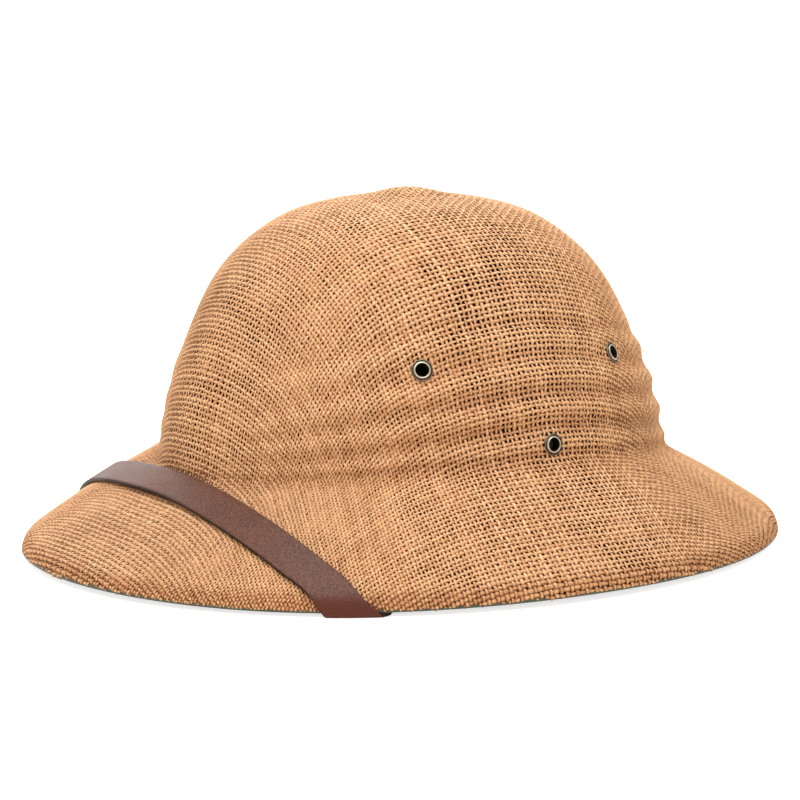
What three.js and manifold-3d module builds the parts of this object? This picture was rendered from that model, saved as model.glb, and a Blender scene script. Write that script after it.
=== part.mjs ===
// Straw-covered pith helmet with a moulded crown, a down-turned brim, six vent eyelets and a leather chin strap.
import * as THREE from 'three';
import { mergeVertices } from 'three/addons/utils/BufferGeometryUtils.js';
import Module from 'manifold-3d';

const wasm = await Module();
wasm.setup();

// Driving sizes in millimetres. The wearer faces -Y, the wearer's left is +X, heights start at the rim.
const brimLength = 327.4;
const brimWidth = 280;
const crownLength = 220;
const crownWidth = 185.5;
const crownSetBack = 3.8;
const domeHeight = 139.9;
const footHeight = 36.5;
const footSideRise = 5.6;
const footFrontRise = 1.2;
const footFillet = 3;
const bossRadius = 19;
const bossHeight = 2.1;
const shellWall = 2.5;
const rimChamfer = 0.6;
const rimCornerDip = 1.1;
const foldDepth = 1.6;
const liningThickness = 0.8;
const liningInset = 4.5;

const strapWidth = 14.6;
const strapThickness = 1.6;
const strapFromCrown = 0.5;
const strapRide = 0.9;
const strapTurnShare = 0.88;
const pinAngle = 78;
const pinOutFromFoot = 7;
const pinShaftRadius = 1.8;
const pinHeadRadius = 4.2;
const pinHeadThickness = 1.4;
const pinBite = 1.3;

const ventHeight = 78.1;
const ventSpread = 27.4;
const lowVentHeight = 47.4;
const lowVentBack = 1.1;
const ventHoleRadius = 2.4;
const ventBarrelWall = 0.4;
const ventFlangeRadius = 4.25;
const ventFlangeThickness = 0.8;

// Gap between pieces that touch on the real helmet.
const clearance = 0.3;

// Steps round the hat, and round the small turned pieces.
const roundSteps = 60;
const turnedSteps = 12;

// The strap lies askew: each half turns over the rim at its own angle from the front, and its course over
// the brim bows by its own power of the way there.
const strapHalves = {
  left: { turnAngle: 48.3, bowPower: 3 },
  right: { turnAngle: 54, bowPower: 2 },
};

// How much fuller than a plain quarter ellipse the crown is, from its foot (0 degrees) to its top (90).
const crownFullness = [
  { climb: 0, share: 1 },
  { climb: 15, share: 0.985 },
  { climb: 30, share: 0.991 },
  { climb: 45, share: 1.054 },
  { climb: 60, share: 1.15 },
  { climb: 72, share: 1.28 },
  { climb: 90, share: 1.39 },
];

// The brim from the crown's foot to the rim: share of the way out, and share of the drop still to come.
const brimProfile = [
  { out: 0, drop: 1 },
  { out: 0.2, drop: 0.837 },
  { out: 0.4, drop: 0.671 },
  { out: 0.6, drop: 0.491 },
  { out: 0.8, drop: 0.297 },
  { out: 0.92, drop: 0.176 },
  { out: 0.98, drop: 0.089 },
  { out: 1, drop: 0 },
];

// The four moulded folds at angles from the front: the height of each one's upper edge as a share of the
// crown's height over its foot, and the share of the full fold depth there.
const foldTable = [
  { angle: 0, first: 0.3, second: 0.18, third: 0.115, fourth: 0.058, depth: 0 },
  { angle: 15, first: 0.335, second: 0.2, third: 0.125, fourth: 0.058, depth: 0.1 },
  { angle: 35, first: 0.405, second: 0.265, third: 0.152, fourth: 0.062, depth: 0.45 },
  { angle: 60, first: 0.49, second: 0.32, third: 0.195, fourth: 0.074, depth: 1 },
  { angle: 90, first: 0.508, second: 0.36, third: 0.227, fourth: 0.094, depth: 1 },
  { angle: 145, first: 0.43, second: 0.3, third: 0.18, fourth: 0.064, depth: 1 },
  { angle: 180, first: 0.4, second: 0.28, third: 0.17, fourth: 0.06, depth: 0.7 },
];
const foldNames = ['first', 'second', 'third', 'fourth'];
const foldTail = 0.6;

const radians = THREE.MathUtils.degToRad;
const { lerp, clamp, smoothstep } = THREE.MathUtils;
const up = new THREE.Vector3(0, 0, 1);

// A smooth function through two columns of a table, held level past both ends.
function curveThrough(rows, keyName, valueName) {
  const keys = rows.map((row) => row[keyName]);
  const values = rows.map((row) => row[valueName]);
  const last = keys.length - 1;
  const slopes = keys.map((key, i) => {
    const before = Math.max(i - 1, 0);
    const after = Math.min(i + 1, last);
    return (values[after] - values[before]) / (keys[after] - keys[before]);
  });
  return (key) => {
    let i = 0;
    while (i < last - 1 && key > keys[i + 1]) {
      i += 1;
    }
    const span = keys[i + 1] - keys[i];
    const t = clamp((key - keys[i]) / span, 0, 1);
    const rise = t * t * (3 - 2 * t);
    const bend = slopes[i] * t * (1 - t) * (1 - t) - slopes[i + 1] * t * t * (1 - t);
    return lerp(values[i], values[i + 1], rise) + span * bend;
  };
}

const fullnessAt = curveThrough(crownFullness, 'climb', 'share');
const brimDropAt = curveThrough(brimProfile, 'out', 'drop');
const foldDepthAt = curveThrough(foldTable, 'angle', 'depth');
const foldHeightAt = foldNames.map((name) => curveThrough(foldTable, 'angle', name));

// Angles round the hat run from the front, over the wearer's left side, to the back, in radians.
function degreesFromFront(angle) {
  return THREE.MathUtils.radToDeg(Math.acos(clamp(Math.cos(angle), -1, 1)));
}

function footLevel(angle) {
  return footHeight + footFrontRise * Math.cos(angle) - footSideRise * Math.cos(2 * angle);
}

// A point on the crown without its folds; climb runs from 0 at the foot to a quarter turn at the top.
function smoothCrown(angle, climb) {
  const rise = Math.sin(climb);
  const girth = Math.cos(climb) * fullnessAt(THREE.MathUtils.radToDeg(climb));
  const x = (crownWidth / 2) * girth * Math.sin(angle);
  const y = (-crownLength / 2) * girth * Math.cos(angle);
  const foot = footLevel(angle);
  const boss = bossHeight * (1 - smoothstep(Math.hypot(x, y), bossRadius * 0.1, bossRadius));
  return new THREE.Vector3(x, y + crownSetBack * (1 - rise), lerp(foot, domeHeight, rise) + boss);
}

// A point on the brim, whose rim hangs a little lower at the hat's four corners.
function brimPoint(angle, out) {
  const width = lerp(crownWidth, brimWidth, out) / 2;
  const length = lerp(crownLength, brimLength, out) / 2;
  const middle = crownSetBack * (1 - out);
  const dip = rimCornerDip * Math.sin(2 * angle) ** 2 * Math.max(out, 0) ** 3;
  const level = footLevel(angle) * brimDropAt(out) - dip;
  return new THREE.Vector3(width * Math.sin(angle), middle - length * Math.cos(angle), level);
}

// The outward normal of a surface given as a function of the angle and of a second value.
function normalOf(surface, angle, value) {
  const step = 1e-3;
  const along = surface(angle + step, value).sub(surface(angle - step, value));
  const across = surface(angle, value + step).sub(surface(angle, value - step));
  const normal = along.cross(across).normalize();
  const outward = new THREE.Vector3(Math.sin(angle), -Math.cos(angle), 1);
  return normal.dot(outward) < 0 ? normal.negate() : normal;
}

function climbAtHeight(angle, height) {
  return Math.asin(clamp((height - footLevel(angle)) / (domeHeight - footLevel(angle)), 0, 1));
}

// The three vents on each side: two high ones spread about the middle of the side, and a low one between.
const vents = [];
for (const [side, sign] of [['left', 1], ['right', -1]]) {
  for (const [place, offset, height] of [
    ['front', -ventSpread, ventHeight],
    ['rear', ventSpread, ventHeight],
    ['low', lowVentBack, lowVentHeight],
  ]) {
    const angle = sign * radians(90 + offset);
    const climb = climbAtHeight(angle, height);
    vents.push({
      name: `eyelet_${side}_${place}`,
      seat: smoothCrown(angle, climb),
      normal: normalOf(smoothCrown, angle, climb),
    });
  }
}

// Counts the folds from the upper edge of the first one downwards: 0 there, 1 at the second edge, and so on.
function foldCount(angle, rise) {
  const place = degreesFromFront(angle);
  const edges = foldHeightAt.map((heightAt) => heightAt(place));
  if (rise > edges[0]) {
    return (edges[0] - rise) / (edges[0] - edges[1]);
  }
  for (let i = 0; i < edges.length - 1; i += 1) {
    if (rise > edges[i + 1]) {
      return i + (edges[i] - rise) / (edges[i] - edges[i + 1]);
    }
  }
  const last = edges.length - 1;
  return last + foldTail * (1 - rise / edges[last]);
}

// The height at which a fold count is met: the reverse of foldCount.
function riseAtCount(angle, count) {
  const place = degreesFromFront(angle);
  const edges = foldHeightAt.map((heightAt) => heightAt(place));
  const last = edges.length - 1;
  if (count >= last) {
    return edges[last] * (1 - (count - last) / foldTail);
  }
  const i = Math.max(Math.floor(count), 0);
  return edges[i] - (edges[i] - edges[i + 1]) * (count - i);
}

// The crown with its folds: each swells out under its upper edge, and they die away at the front, above
// the first edge, at the foot and round the vents, where the eyelets press the straw flat.
function crownPoint(angle, climb) {
  const point = smoothCrown(angle, climb);
  const rise = Math.sin(climb);
  const count = foldCount(angle, rise);
  const outward = new THREE.Vector3(Math.sin(angle) / crownWidth, -Math.cos(angle) / crownLength, 0).normalize();
  let swell = (foldDepth / 2) * foldDepthAt(degreesFromFront(angle)) * Math.sin(2 * Math.PI * count);
  swell *= smoothstep(count, -foldTail, 0) * smoothstep(rise, 0, 0.04);
  for (const vent of vents) {
    swell *= smoothstep(point.distanceTo(vent.seat), ventFlangeRadius, 2 * ventFlangeRadius);
  }
  return point.addScaledVector(outward, swell);
}

// The hollow of the crown's foot, rounded between a point on the crown and one on the brim.
function filletPoint(angle, t) {
  const climb = Math.asin(footFillet / (domeHeight - footLevel(angle)));
  const out = (2 * footFillet) / (brimWidth - crownWidth);
  const curve = new THREE.QuadraticBezierCurve3(crownPoint(angle, climb), brimPoint(angle, 0), brimPoint(angle, out));
  return curve.getPoint(t);
}

// Builds a closed skin from rings of points, joined at both ends to a single point or to each other.
function skin(rings, closed) {
  const places = [];
  const faces = [];
  rings.forEach((ring) => {
    for (let j = 0; j < ring.length; j += 1) {
      places.push(ring[j].x, ring[j].y, ring[j].z);
    }
  });
  const around = rings[0].length;
  const count = closed ? rings.length : rings.length - 1;
  for (let i = 0; i < count; i += 1) {
    const next = (i + 1) % rings.length;
    for (let j = 0; j < around; j += 1) {
      const k = (j + 1) % around;
      const [a, b, c, d] = [i * around + j, i * around + k, next * around + k, next * around + j];
      faces.push(a, b, c, a, c, d);
    }
  }
  const geometry = new THREE.BufferGeometry();
  geometry.setAttribute('position', new THREE.Float32BufferAttribute(places, 3));
  geometry.setIndex(faces);
  return closedSolid(geometry);
}

// Merges shared corners, drops faces that have no area, and turns every face outwards.
function closedSolid(source) {
  source.deleteAttribute('normal');
  source.deleteAttribute('uv');
  const merged = mergeVertices(source, 1e-4);
  const index = merged.index.array;
  const place = merged.attributes.position;
  const [a, b, c] = [new THREE.Vector3(), new THREE.Vector3(), new THREE.Vector3()];
  const faces = [];
  let volume = 0;
  for (let i = 0; i < index.length; i += 3) {
    const [p, q, r] = [index[i], index[i + 1], index[i + 2]];
    if (p !== q && q !== r && r !== p) {
      faces.push([p, q, r]);
      a.fromBufferAttribute(place, p);
      b.fromBufferAttribute(place, q);
      c.fromBufferAttribute(place, r);
      volume += a.dot(b.cross(c));
    }
  }
  merged.setIndex(faces.flatMap(([p, q, r]) => (volume < 0 ? [p, r, q] : [p, q, r])));
  return merged;
}

function ringOf(pointAt) {
  return Array.from({ length: roundSteps }, (unused, j) => pointAt((2 * Math.PI * j) / roundSteps));
}

function toSolid(geometry) {
  const mesh = new wasm.Mesh({
    numProp: 3,
    vertProperties: Float32Array.from(geometry.attributes.position.array),
    triVerts: Uint32Array.from(geometry.index.array),
  });
  return new wasm.Manifold(mesh);
}

function toGeometry(solid) {
  const mesh = solid.getMesh();
  const geometry = new THREE.BufferGeometry();
  geometry.setAttribute('position', new THREE.Float32BufferAttribute(mesh.vertProperties, 3));
  geometry.setIndex(Array.from(mesh.triVerts));
  return closedSolid(geometry);
}

// A turned piece: radius and height pairs round an axis that starts at a seat and runs along a normal.
function turned(profile, seat, normal) {
  const points = profile.map(([radius, height]) => new THREE.Vector2(radius, height));
  const geometry = new THREE.LatheGeometry(points, turnedSteps);
  geometry.applyQuaternion(new THREE.Quaternion().setFromUnitVectors(new THREE.Vector3(0, 1, 0), normal));
  geometry.translate(seat.x, seat.y, seat.z);
  return closedSolid(geometry);
}

function drill(radius, from, to) {
  return [[0, from], [radius, from], [radius, to], [0, to]];
}

function below(surface, angle, value, depth) {
  return surface(angle, value).addScaledVector(normalOf(surface, angle, value), -depth);
}

// Eyelet heights along its axis, measured from the crown's outer face.
const ventSeatDepth = 0.1;
const ventOuterSeat = clearance - ventSeatDepth;
const ventInnerSeat = -shellWall - clearance + ventSeatDepth;
const ventBarrelRadius = ventHoleRadius + ventBarrelWall;

function eyelet(vent) {
  const top = ventOuterSeat + ventFlangeThickness;
  const bottom = ventInnerSeat - ventFlangeThickness;
  const roll = ventFlangeThickness / 2;
  return turned([
    [ventHoleRadius, bottom],
    [ventHoleRadius, top - roll],
    [ventHoleRadius + roll, top],
    [ventFlangeRadius - roll, top],
    [ventFlangeRadius, top - roll],
    [ventFlangeRadius, ventOuterSeat],
    [ventBarrelRadius, ventOuterSeat],
    [ventBarrelRadius, ventInnerSeat],
    [ventFlangeRadius, ventInnerSeat],
    [ventFlangeRadius, bottom],
    [ventHoleRadius, bottom],
  ], vent.seat, vent.normal);
}

// The hole for an eyelet, with a flat seat for each flange.
function ventCut(vent) {
  const reach = 2 * shellWall;
  const flange = ventFlangeRadius + clearance;
  const barrel = ventBarrelRadius + clearance;
  const outerSeat = ventOuterSeat - clearance;
  const innerSeat = ventInnerSeat + clearance;
  return toSolid(turned([
    [0, -shellWall - reach],
    [flange, -shellWall - reach],
    [flange, innerSeat],
    [barrel, innerSeat],
    [barrel, outerSeat],
    [flange, outerSeat],
    [flange, reach],
    [0, reach],
  ], vent.seat, vent.normal));
}

// The plan place on the brim's outer face at x and y, as an angle and a share of the way out.
function brimPlace(x, y) {
  let low = 0;
  let high = 1;
  for (let i = 0; i < 40; i += 1) {
    const out = (low + high) / 2;
    const east = x / (lerp(crownWidth, brimWidth, out) / 2);
    const north = (y - crownSetBack * (1 - out)) / (lerp(crownLength, brimLength, out) / 2);
    if (east * east + north * north > 1) {
      low = out;
    } else {
      high = out;
    }
  }
  const out = (low + high) / 2;
  const east = x / lerp(crownWidth, brimWidth, out);
  const north = (y - crownSetBack * (1 - out)) / lerp(crownLength, brimLength, out);
  return { angle: Math.atan2(east, -north), out };
}

// Depth under the brim's outer face at which the strap's middle lies, once the lining is passed.
const liningDepth = shellWall + clearance;
const strapUnderDepth = liningDepth + liningThickness + clearance + strapThickness / 2;
const strapOffset = clearance + strapThickness / 2;

const pinPlace = {
  angle: radians(pinAngle),
  out: (2 * pinOutFromFoot) / (brimWidth - crownWidth),
};

// The direction along the brim's own edge line at a place, and how far it is round by one radian there.
function brimGirth(angle, out) {
  const step = 1e-3;
  return brimPoint(angle + step, out).distanceTo(brimPoint(angle - step, out)) / (2 * step);
}

function alongBrim(angle, out) {
  const step = 1e-3;
  return brimPoint(angle + step, out).sub(brimPoint(angle - step, out)).normalize();
}

// A spot on the strap's middle plane over the brim's outer face, or round the rim's bottom edge, where lean
// is the way the face looks: 0 is straight out, minus 90 degrees straight down.
function overBrim(lift) {
  return (angle, out) => {
    const normal = normalOf(brimPoint, angle, out);
    return { centre: brimPoint(angle, out).addScaledVector(normal, lift), normal };
  };
}

function roundRim(lean, inward) {
  return (angle) => {
    const along = alongBrim(angle, 1);
    const outward = new THREE.Vector3(along.y, -along.x, 0);
    const normal = outward.clone().multiplyScalar(Math.cos(lean)).addScaledVector(up, Math.sin(lean));
    const centre = brimPoint(angle, 1).addScaledVector(outward, -inward).addScaledVector(normal, strapOffset);
    return { centre, normal };
  };
}

// One half of the strap's middle line, worked out on the wearer's left, from the front of the crown, whose
// rounded foot lifts it a little, to its end past the pin. A stop on the brim has its place there; each one
// says how far its cross line has turned from square to the direction along the rim.
function strapStops({ turnAngle: turnDegrees, bowPower }) {
  const stops = [];
  const addSeated = (spotAt, angle, out, turn) => {
    stops.push({ ...spotAt(angle, out), along: alongBrim(angle, out), turn, narrow: 1, spotAt, angle, out });
  };

  const turnAngle = radians(turnDegrees);
  const turning = brimPoint(turnAngle, strapTurnShare);
  const frontFoot = -brimPoint(0, 0).y;
  const frontTilt = normalOf(brimPoint, 0, 0.1).z;
  const reach = frontFoot + strapFromCrown + (strapWidth / 2) * frontTilt;
  const bow = reach + turning.y;
  for (const stride of [0, 0.1, 0.2, 0.3, 0.4, 0.5, 0.6, 0.7, 0.8, 0.9, 0.99]) {
    const place = brimPlace(stride * turning.x, stride ** bowPower * bow - reach);
    const lift = strapOffset + strapRide * (1 - smoothstep(stride, 0, 0.5));
    addSeated(overBrim(lift), place.angle, place.out, smoothstep(stride, 0.5, 1));
  }

  // Over the lip and round the rim it keeps its slant, so it slides along the rim as it goes.
  const along = alongBrim(turnAngle, strapTurnShare);
  const outwards = along.clone().cross(normalOf(brimPoint, turnAngle, strapTurnShare));
  const course = stops[stops.length - 1].centre.clone().sub(stops[stops.length - 2].centre);
  const slide = course.dot(along) / course.dot(outwards);
  let travelled = 0;
  const slidAngle = () => turnAngle + (travelled * slide) / brimGirth(turnAngle, 1);
  let share = strapTurnShare;
  for (const nextShare of [0.92, 0.95, 0.975, 1]) {
    travelled += brimPoint(turnAngle, nextShare).distanceTo(brimPoint(turnAngle, share));
    share = nextShare;
    addSeated(overBrim(strapOffset), slidAngle(), share, 1);
  }
  for (const lean of [-20, -55, -90]) {
    travelled += strapOffset * radians(35);
    addSeated(roundRim(radians(lean), 0), slidAngle(), 1, 1);
  }
  travelled += shellWall;
  addSeated(roundRim(radians(-90), shellWall + clearance), slidAngle(), 1, 1);
  const leaving = stops[stops.length - 1];

  // Under the brim it runs straight to its pin, and lies flat against the lining there.
  const axis = normalOf(brimPoint, pinPlace.angle, pinPlace.out);
  const facing = axis.clone().negate();
  const pinned = below(brimPoint, pinPlace.angle, pinPlace.out, strapUnderDepth);
  const arriving = pinned.clone().sub(leaving.centre);
  arriving.addScaledVector(axis, -arriving.dot(axis)).normalize();
  const short = pinned.clone().addScaledVector(arriving, -strapWidth);
  const shortPlace = brimPlace(short.x, short.y);
  const landing = below(brimPoint, shortPlace.angle, shortPlace.out, strapUnderDepth + clearance);
  const addFree = (centre, normal, turn, narrow) => {
    stops.push({ centre, normal, along: leaving.along, turn, narrow });
  };
  for (const part of [0.12, 0.3, 0.55, 0.8]) {
    const normal = leaving.normal.clone().lerp(facing, smoothstep(part, 0, 1)).normalize();
    addFree(leaving.centre.clone().lerp(landing, part), normal, 1 - smoothstep(part, 0, 0.55), 1);
  }
  addFree(landing, facing, 0, 1);
  addFree(pinned, facing, 0, 1);
  // The end is a half round about the pin.
  for (const bend of [30, 55, 75]) {
    const centre = pinned.clone().addScaledVector(arriving, (strapWidth / 2) * Math.sin(radians(bend)));
    addFree(centre, facing, 0, Math.cos(radians(bend)));
  }
  return { stops, axis, pinned };
}

const leftCourse = strapStops(strapHalves.left);
const rightCourse = strapStops(strapHalves.right);

// The strap's spot one cross line away from a stop, on the helmet's own surface where the stop is seated.
function besideStop(stop, cross) {
  if (!stop.spotAt) {
    return { centre: stop.centre.clone().add(cross), normal: stop.normal };
  }
  const step = 1e-3;
  const round = stop.spotAt(stop.angle + step, stop.out).centre.sub(stop.centre).divideScalar(step);
  const inner = Math.max(stop.out - step, 0);
  const outside = stop.centre.clone().sub(stop.spotAt(stop.angle, inner).centre).divideScalar(step);
  if (outside.length() === 0) {
    return stop.spotAt(stop.angle + cross.dot(round) / round.lengthSq(), stop.out);
  }
  const [rr, ro, oo] = [round.dot(round), round.dot(outside), outside.dot(outside)];
  const [cr, co] = [cross.dot(round), cross.dot(outside)];
  const turnBy = (cr * oo - co * ro) / (rr * oo - ro * ro);
  const outBy = (co * rr - cr * ro) / (rr * oo - ro * ro);
  return stop.spotAt(stop.angle + turnBy, clamp(stop.out + outBy, 0, 1));
}

// The strap's cross sections at its stops, each six points round.
function strapSections({ stops }) {
  return stops.map((stop, i) => {
    const before = stops[Math.max(i - 1, 0)].centre;
    const after = stops[Math.min(i + 1, stops.length - 1)].centre;
    const course = i === 0 ? new THREE.Vector3(1, 0, 0) : after.clone().sub(before).normalize();
    const square = stop.normal.clone().cross(course).normalize();
    const cross = square.lerp(stop.along, stop.turn);
    cross.addScaledVector(stop.normal, -cross.dot(stop.normal)).normalize();
    const spread = cross.clone().cross(course).length();
    cross.multiplyScalar(((strapWidth / 2) * stop.narrow) / spread);
    const spots = [besideStop(stop, cross), stop, besideStop(stop, cross.clone().negate())];
    const faceOf = (side) => spots.map((spot) => (
      spot.centre.clone().addScaledVector(spot.normal, (side * strapThickness) / 2)
    ));
    return [...faceOf(1), ...faceOf(-1).reverse()];
  });
}

function chinStrap() {
  const rightHalf = strapSections(rightCourse).slice(1).reverse().map((section) => (
    section.map((point) => new THREE.Vector3(-point.x, point.y, point.z))
  ));
  const rings = [...rightHalf, ...strapSections(leftCourse)];
  const cap = (ring) => {
    const middle = ring.reduce((sum, point) => sum.add(point), new THREE.Vector3()).divideScalar(ring.length);
    return ring.map(() => middle.clone());
  };
  return skin([cap(rings[0]), ...rings, cap(rings[rings.length - 1])], false);
}

// Turns a left-hand seat and axis into the matching right-hand ones.
function sideways(vector, sign) {
  return new THREE.Vector3(sign * vector.x, vector.y, vector.z);
}

// A plain pin through the strap's end and the lining into the shell, its head under the strap.
function strapPin(sign) {
  const headTop = -strapThickness / 2 - clearance;
  const tip = strapUnderDepth - shellWall + pinBite;
  const profile = [
    [0, headTop - pinHeadThickness],
    [pinHeadRadius, headTop - pinHeadThickness],
    [pinHeadRadius, headTop],
    [pinShaftRadius, headTop],
    [pinShaftRadius, tip],
    [0, tip],
  ];
  return turned(profile, sideways(leftCourse.pinned, sign), sideways(leftCourse.axis, sign));
}

function pinCut(sign) {
  const tip = strapUnderDepth - shellWall + pinBite + clearance;
  const profile = drill(pinShaftRadius + clearance, -2 * strapThickness, tip);
  return toSolid(turned(profile, sideways(leftCourse.pinned, sign), sideways(leftCourse.axis, sign)));
}

function withPinHoles(geometry) {
  return toSolid(geometry).subtract(pinCut(1)).subtract(pinCut(-1));
}

// The shell from its top down the outer face, round the rim and back up the inner face.
function strawShell() {
  const degreesList = (list, surface) => list.map((climb) => ringOf((angle) => surface(angle, radians(climb))));
  const outerDome = degreesList([90, 87.5, 84.5, 81, 76, 70, 63, 56, 49], crownPoint);
  const shoulder = [0.4, 0.75].map((share) => ringOf((angle) => {
    const foldTop = Math.asin(riseAtCount(angle, -0.5));
    return crownPoint(angle, lerp(radians(49), foldTop, share));
  }));
  const counts = [-0.5, -0.25, 0, 0.25, 0.5, 0.75, 1, 1.25, 1.5, 1.75, 2, 2.25, 2.5, 2.75, 3, 3.2];
  const folds = counts.map((count) => ringOf((angle) => crownPoint(angle, Math.asin(riseAtCount(angle, count)))));
  const fillet = [0, 0.33, 0.67, 1].map((t) => ringOf((angle) => filletPoint(angle, t)));
  const outerBrim = [0.2, 0.4, 0.6, 0.8, 0.9, 0.95, 0.98].map((out) => ringOf((angle) => brimPoint(angle, out)));

  const rimRing = (inward, level) => ringOf((angle) => {
    const edge = brimPoint(angle, 1);
    const normal = new THREE.Vector3(Math.sin(angle) / brimWidth, -Math.cos(angle) / brimLength, 0).normalize();
    return edge.addScaledVector(normal, -inward).addScaledVector(up, level);
  });
  const rim = [
    rimRing(0, rimChamfer),
    rimRing(rimChamfer, 0),
    rimRing(shellWall - rimChamfer, 0),
    rimRing(shellWall, rimChamfer),
  ];

  const innerBrim = [0.95, 0.88, 0.75, 0.5, 0.25, 0.06].map((out) => (
    ringOf((angle) => below(brimPoint, angle, out, shellWall))
  ));
  const innerCrown = [6, 14, 24, 36, 48, 60, 72, 82, 89.9].map((climb) => (
    ringOf((angle) => below(smoothCrown, angle, radians(climb), shellWall))
  ));
  const top = innerCrown[innerCrown.length - 1];
  const level = top.reduce((sum, point) => sum + point.z, 0) / top.length;
  innerCrown[innerCrown.length - 1] = top.map(() => new THREE.Vector3(0, 0, level));

  const rings = [...outerDome, ...shoulder, ...folds, ...fillet, ...outerBrim, ...rim, ...innerBrim, ...innerCrown];
  let shell = withPinHoles(skin(rings, false));
  for (const vent of vents) {
    shell = shell.subtract(ventCut(vent));
  }
  return toGeometry(shell);
}

// A thin sheet of cloth under the brim, from the crown's opening to just inside the turned-down rim.
function brimLining() {
  const rimShare = 1 - (2 * liningInset) / (brimWidth - crownWidth);
  const shares = [0, 0.35, 0.7, 1].map((share) => lerp(0.1, rimShare, share));
  const sheet = (depth) => shares.map((out) => ringOf((angle) => below(brimPoint, angle, out, depth)));
  const upper = sheet(liningDepth);
  const lower = sheet(liningDepth + liningThickness);
  return toGeometry(withPinHoles(skin([...upper, ...lower.reverse()], true)));
}

const straw = { color: 0xc3936c, roughness: 0.75, metalness: 0 };
const clothGreen = { color: 0x3a4034, roughness: 0.9, metalness: 0 };
const leather = { color: 0x6a4436, roughness: 0.5, metalness: 0 };
const nickel = { color: 0x8d8574, roughness: 0.35, metalness: 0.9 };

function piece(name, geometry, finish) {
  const mesh = new THREE.Mesh(geometry, new THREE.MeshStandardMaterial(finish));
  mesh.name = name;
  geometry.computeVertexNormals();
  return mesh;
}

// The helmet stands on its strap, where that passes under the rim.
const strapGeometry = toGeometry(withPinHoles(chinStrap()));
strapGeometry.computeBoundingBox();
const helmet = new THREE.Group();
helmet.position.z = -strapGeometry.boundingBox.min.z;
helmet.add(piece('straw_shell', strawShell(), straw));
helmet.add(piece('brim_lining', brimLining(), clothGreen));
helmet.add(piece('chin_strap', strapGeometry, leather));
helmet.add(piece('strap_pin_left', strapPin(1), nickel));
helmet.add(piece('strap_pin_right', strapPin(-1), nickel));
for (const vent of vents) {
  helmet.add(piece(vent.name, eyelet(vent), nickel));
}

const model = new THREE.Group();
model.add(helmet);

export default model;
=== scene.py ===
import math

import bpy
import numpy as np
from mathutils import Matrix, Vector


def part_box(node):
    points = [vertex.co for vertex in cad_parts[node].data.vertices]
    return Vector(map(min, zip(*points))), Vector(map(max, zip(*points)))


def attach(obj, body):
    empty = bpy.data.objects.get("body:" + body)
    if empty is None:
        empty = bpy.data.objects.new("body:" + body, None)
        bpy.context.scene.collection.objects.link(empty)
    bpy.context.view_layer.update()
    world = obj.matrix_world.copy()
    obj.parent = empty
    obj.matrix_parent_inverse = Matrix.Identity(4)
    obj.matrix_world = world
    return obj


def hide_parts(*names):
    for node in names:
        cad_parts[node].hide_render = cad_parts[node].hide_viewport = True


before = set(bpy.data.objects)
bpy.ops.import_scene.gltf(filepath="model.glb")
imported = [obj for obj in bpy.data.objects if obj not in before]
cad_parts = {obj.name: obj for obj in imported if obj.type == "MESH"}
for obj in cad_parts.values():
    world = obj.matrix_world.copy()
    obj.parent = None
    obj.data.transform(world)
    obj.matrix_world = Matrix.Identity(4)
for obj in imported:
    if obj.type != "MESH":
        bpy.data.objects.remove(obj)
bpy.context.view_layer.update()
TURN = 2 * math.pi


# The studio: a plain pale floor under a plain pale sky, with wide soft lights above, in front, beside and
# behind, and the camera where the photograph was taken from. The wearer faces -Y, with +X on the left.
def aim(thing, target):
    """Turns an object's -Z towards a point, with its Y as near to upright as it goes."""
    back = np.array(thing.location) - np.array(target)
    back /= np.linalg.norm(back)
    right = np.cross((0, 0, 1), back)
    right /= np.linalg.norm(right)
    up = np.cross(back, right)
    matrix = np.eye(4)
    matrix[:3, 0], matrix[:3, 1], matrix[:3, 2], matrix[:3, 3] = right, up, back, thing.location
    thing.matrix_world = [list(row) for row in matrix.T]


def place(name, data, at=(0, 0, 0)):
    thing = bpy.data.objects.new(name, data)
    thing.location = at
    bpy.context.scene.collection.objects.link(thing)
    return thing


camera_lens = bpy.data.cameras.new("camera")
camera_lens.lens = 108.19
camera_lens.sensor_width = 36
camera_lens.clip_start = 0.05
camera = place("camera", camera_lens, (0.8207, -0.5499, 0.2081))
aim(camera, (-0.00177, -0.00267, 0.05644))
bpy.context.scene.camera = camera

lit_middle = (0, 0, 0.06)
warm_tint = (1.0, 0.93, 0.84)


def soft_light(name, at, size, watts, tint=(1, 1, 1)):
    lamp = bpy.data.lights.new(name, "AREA")
    lamp.shape = "RECTANGLE"
    lamp.size, lamp.size_y = size
    lamp.energy = watts
    lamp.color = tint
    aim(place(name, lamp, at), lit_middle)


soft_light("top_light", (0.15, -0.2, 1.15), (0.9, 0.9), 17.5)
soft_light("front_light", (1.3, -0.5, 0.65), (1.0, 0.8), 2.4, warm_tint)
soft_light("left_light", (-0.5, -1.2, 0.9), (1.0, 0.8), 2.8, warm_tint)
soft_light("back_light", (-1.3, 0.7, 0.6), (1.6, 0.9), 14)


def linear(red, green, blue):
    """An sRGB colour in 0 to 255 as Blender's linear colour."""
    share = np.array([red, green, blue]) / 255
    flat = np.where(share <= 0.04045, share / 12.92, ((share + 0.055) / 1.055) ** 2.4)
    return (*flat.tolist(), 1)


def fill(node, inputs):
    """Fills a node's inputs with values or with other nodes' outputs."""
    for key, value in inputs.items():
        if isinstance(value, bpy.types.NodeSocket):
            node.id_data.links.new(value, node.inputs[key])
        else:
            node.inputs[key].default_value = value


def add_node(tree, kind, inputs=None, **settings):
    """Adds a node, sets its properties and fills its inputs."""
    node = tree.nodes.new(kind)
    for key, value in settings.items():
        setattr(node, key, value)
    fill(node, inputs or {})
    return node


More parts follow.
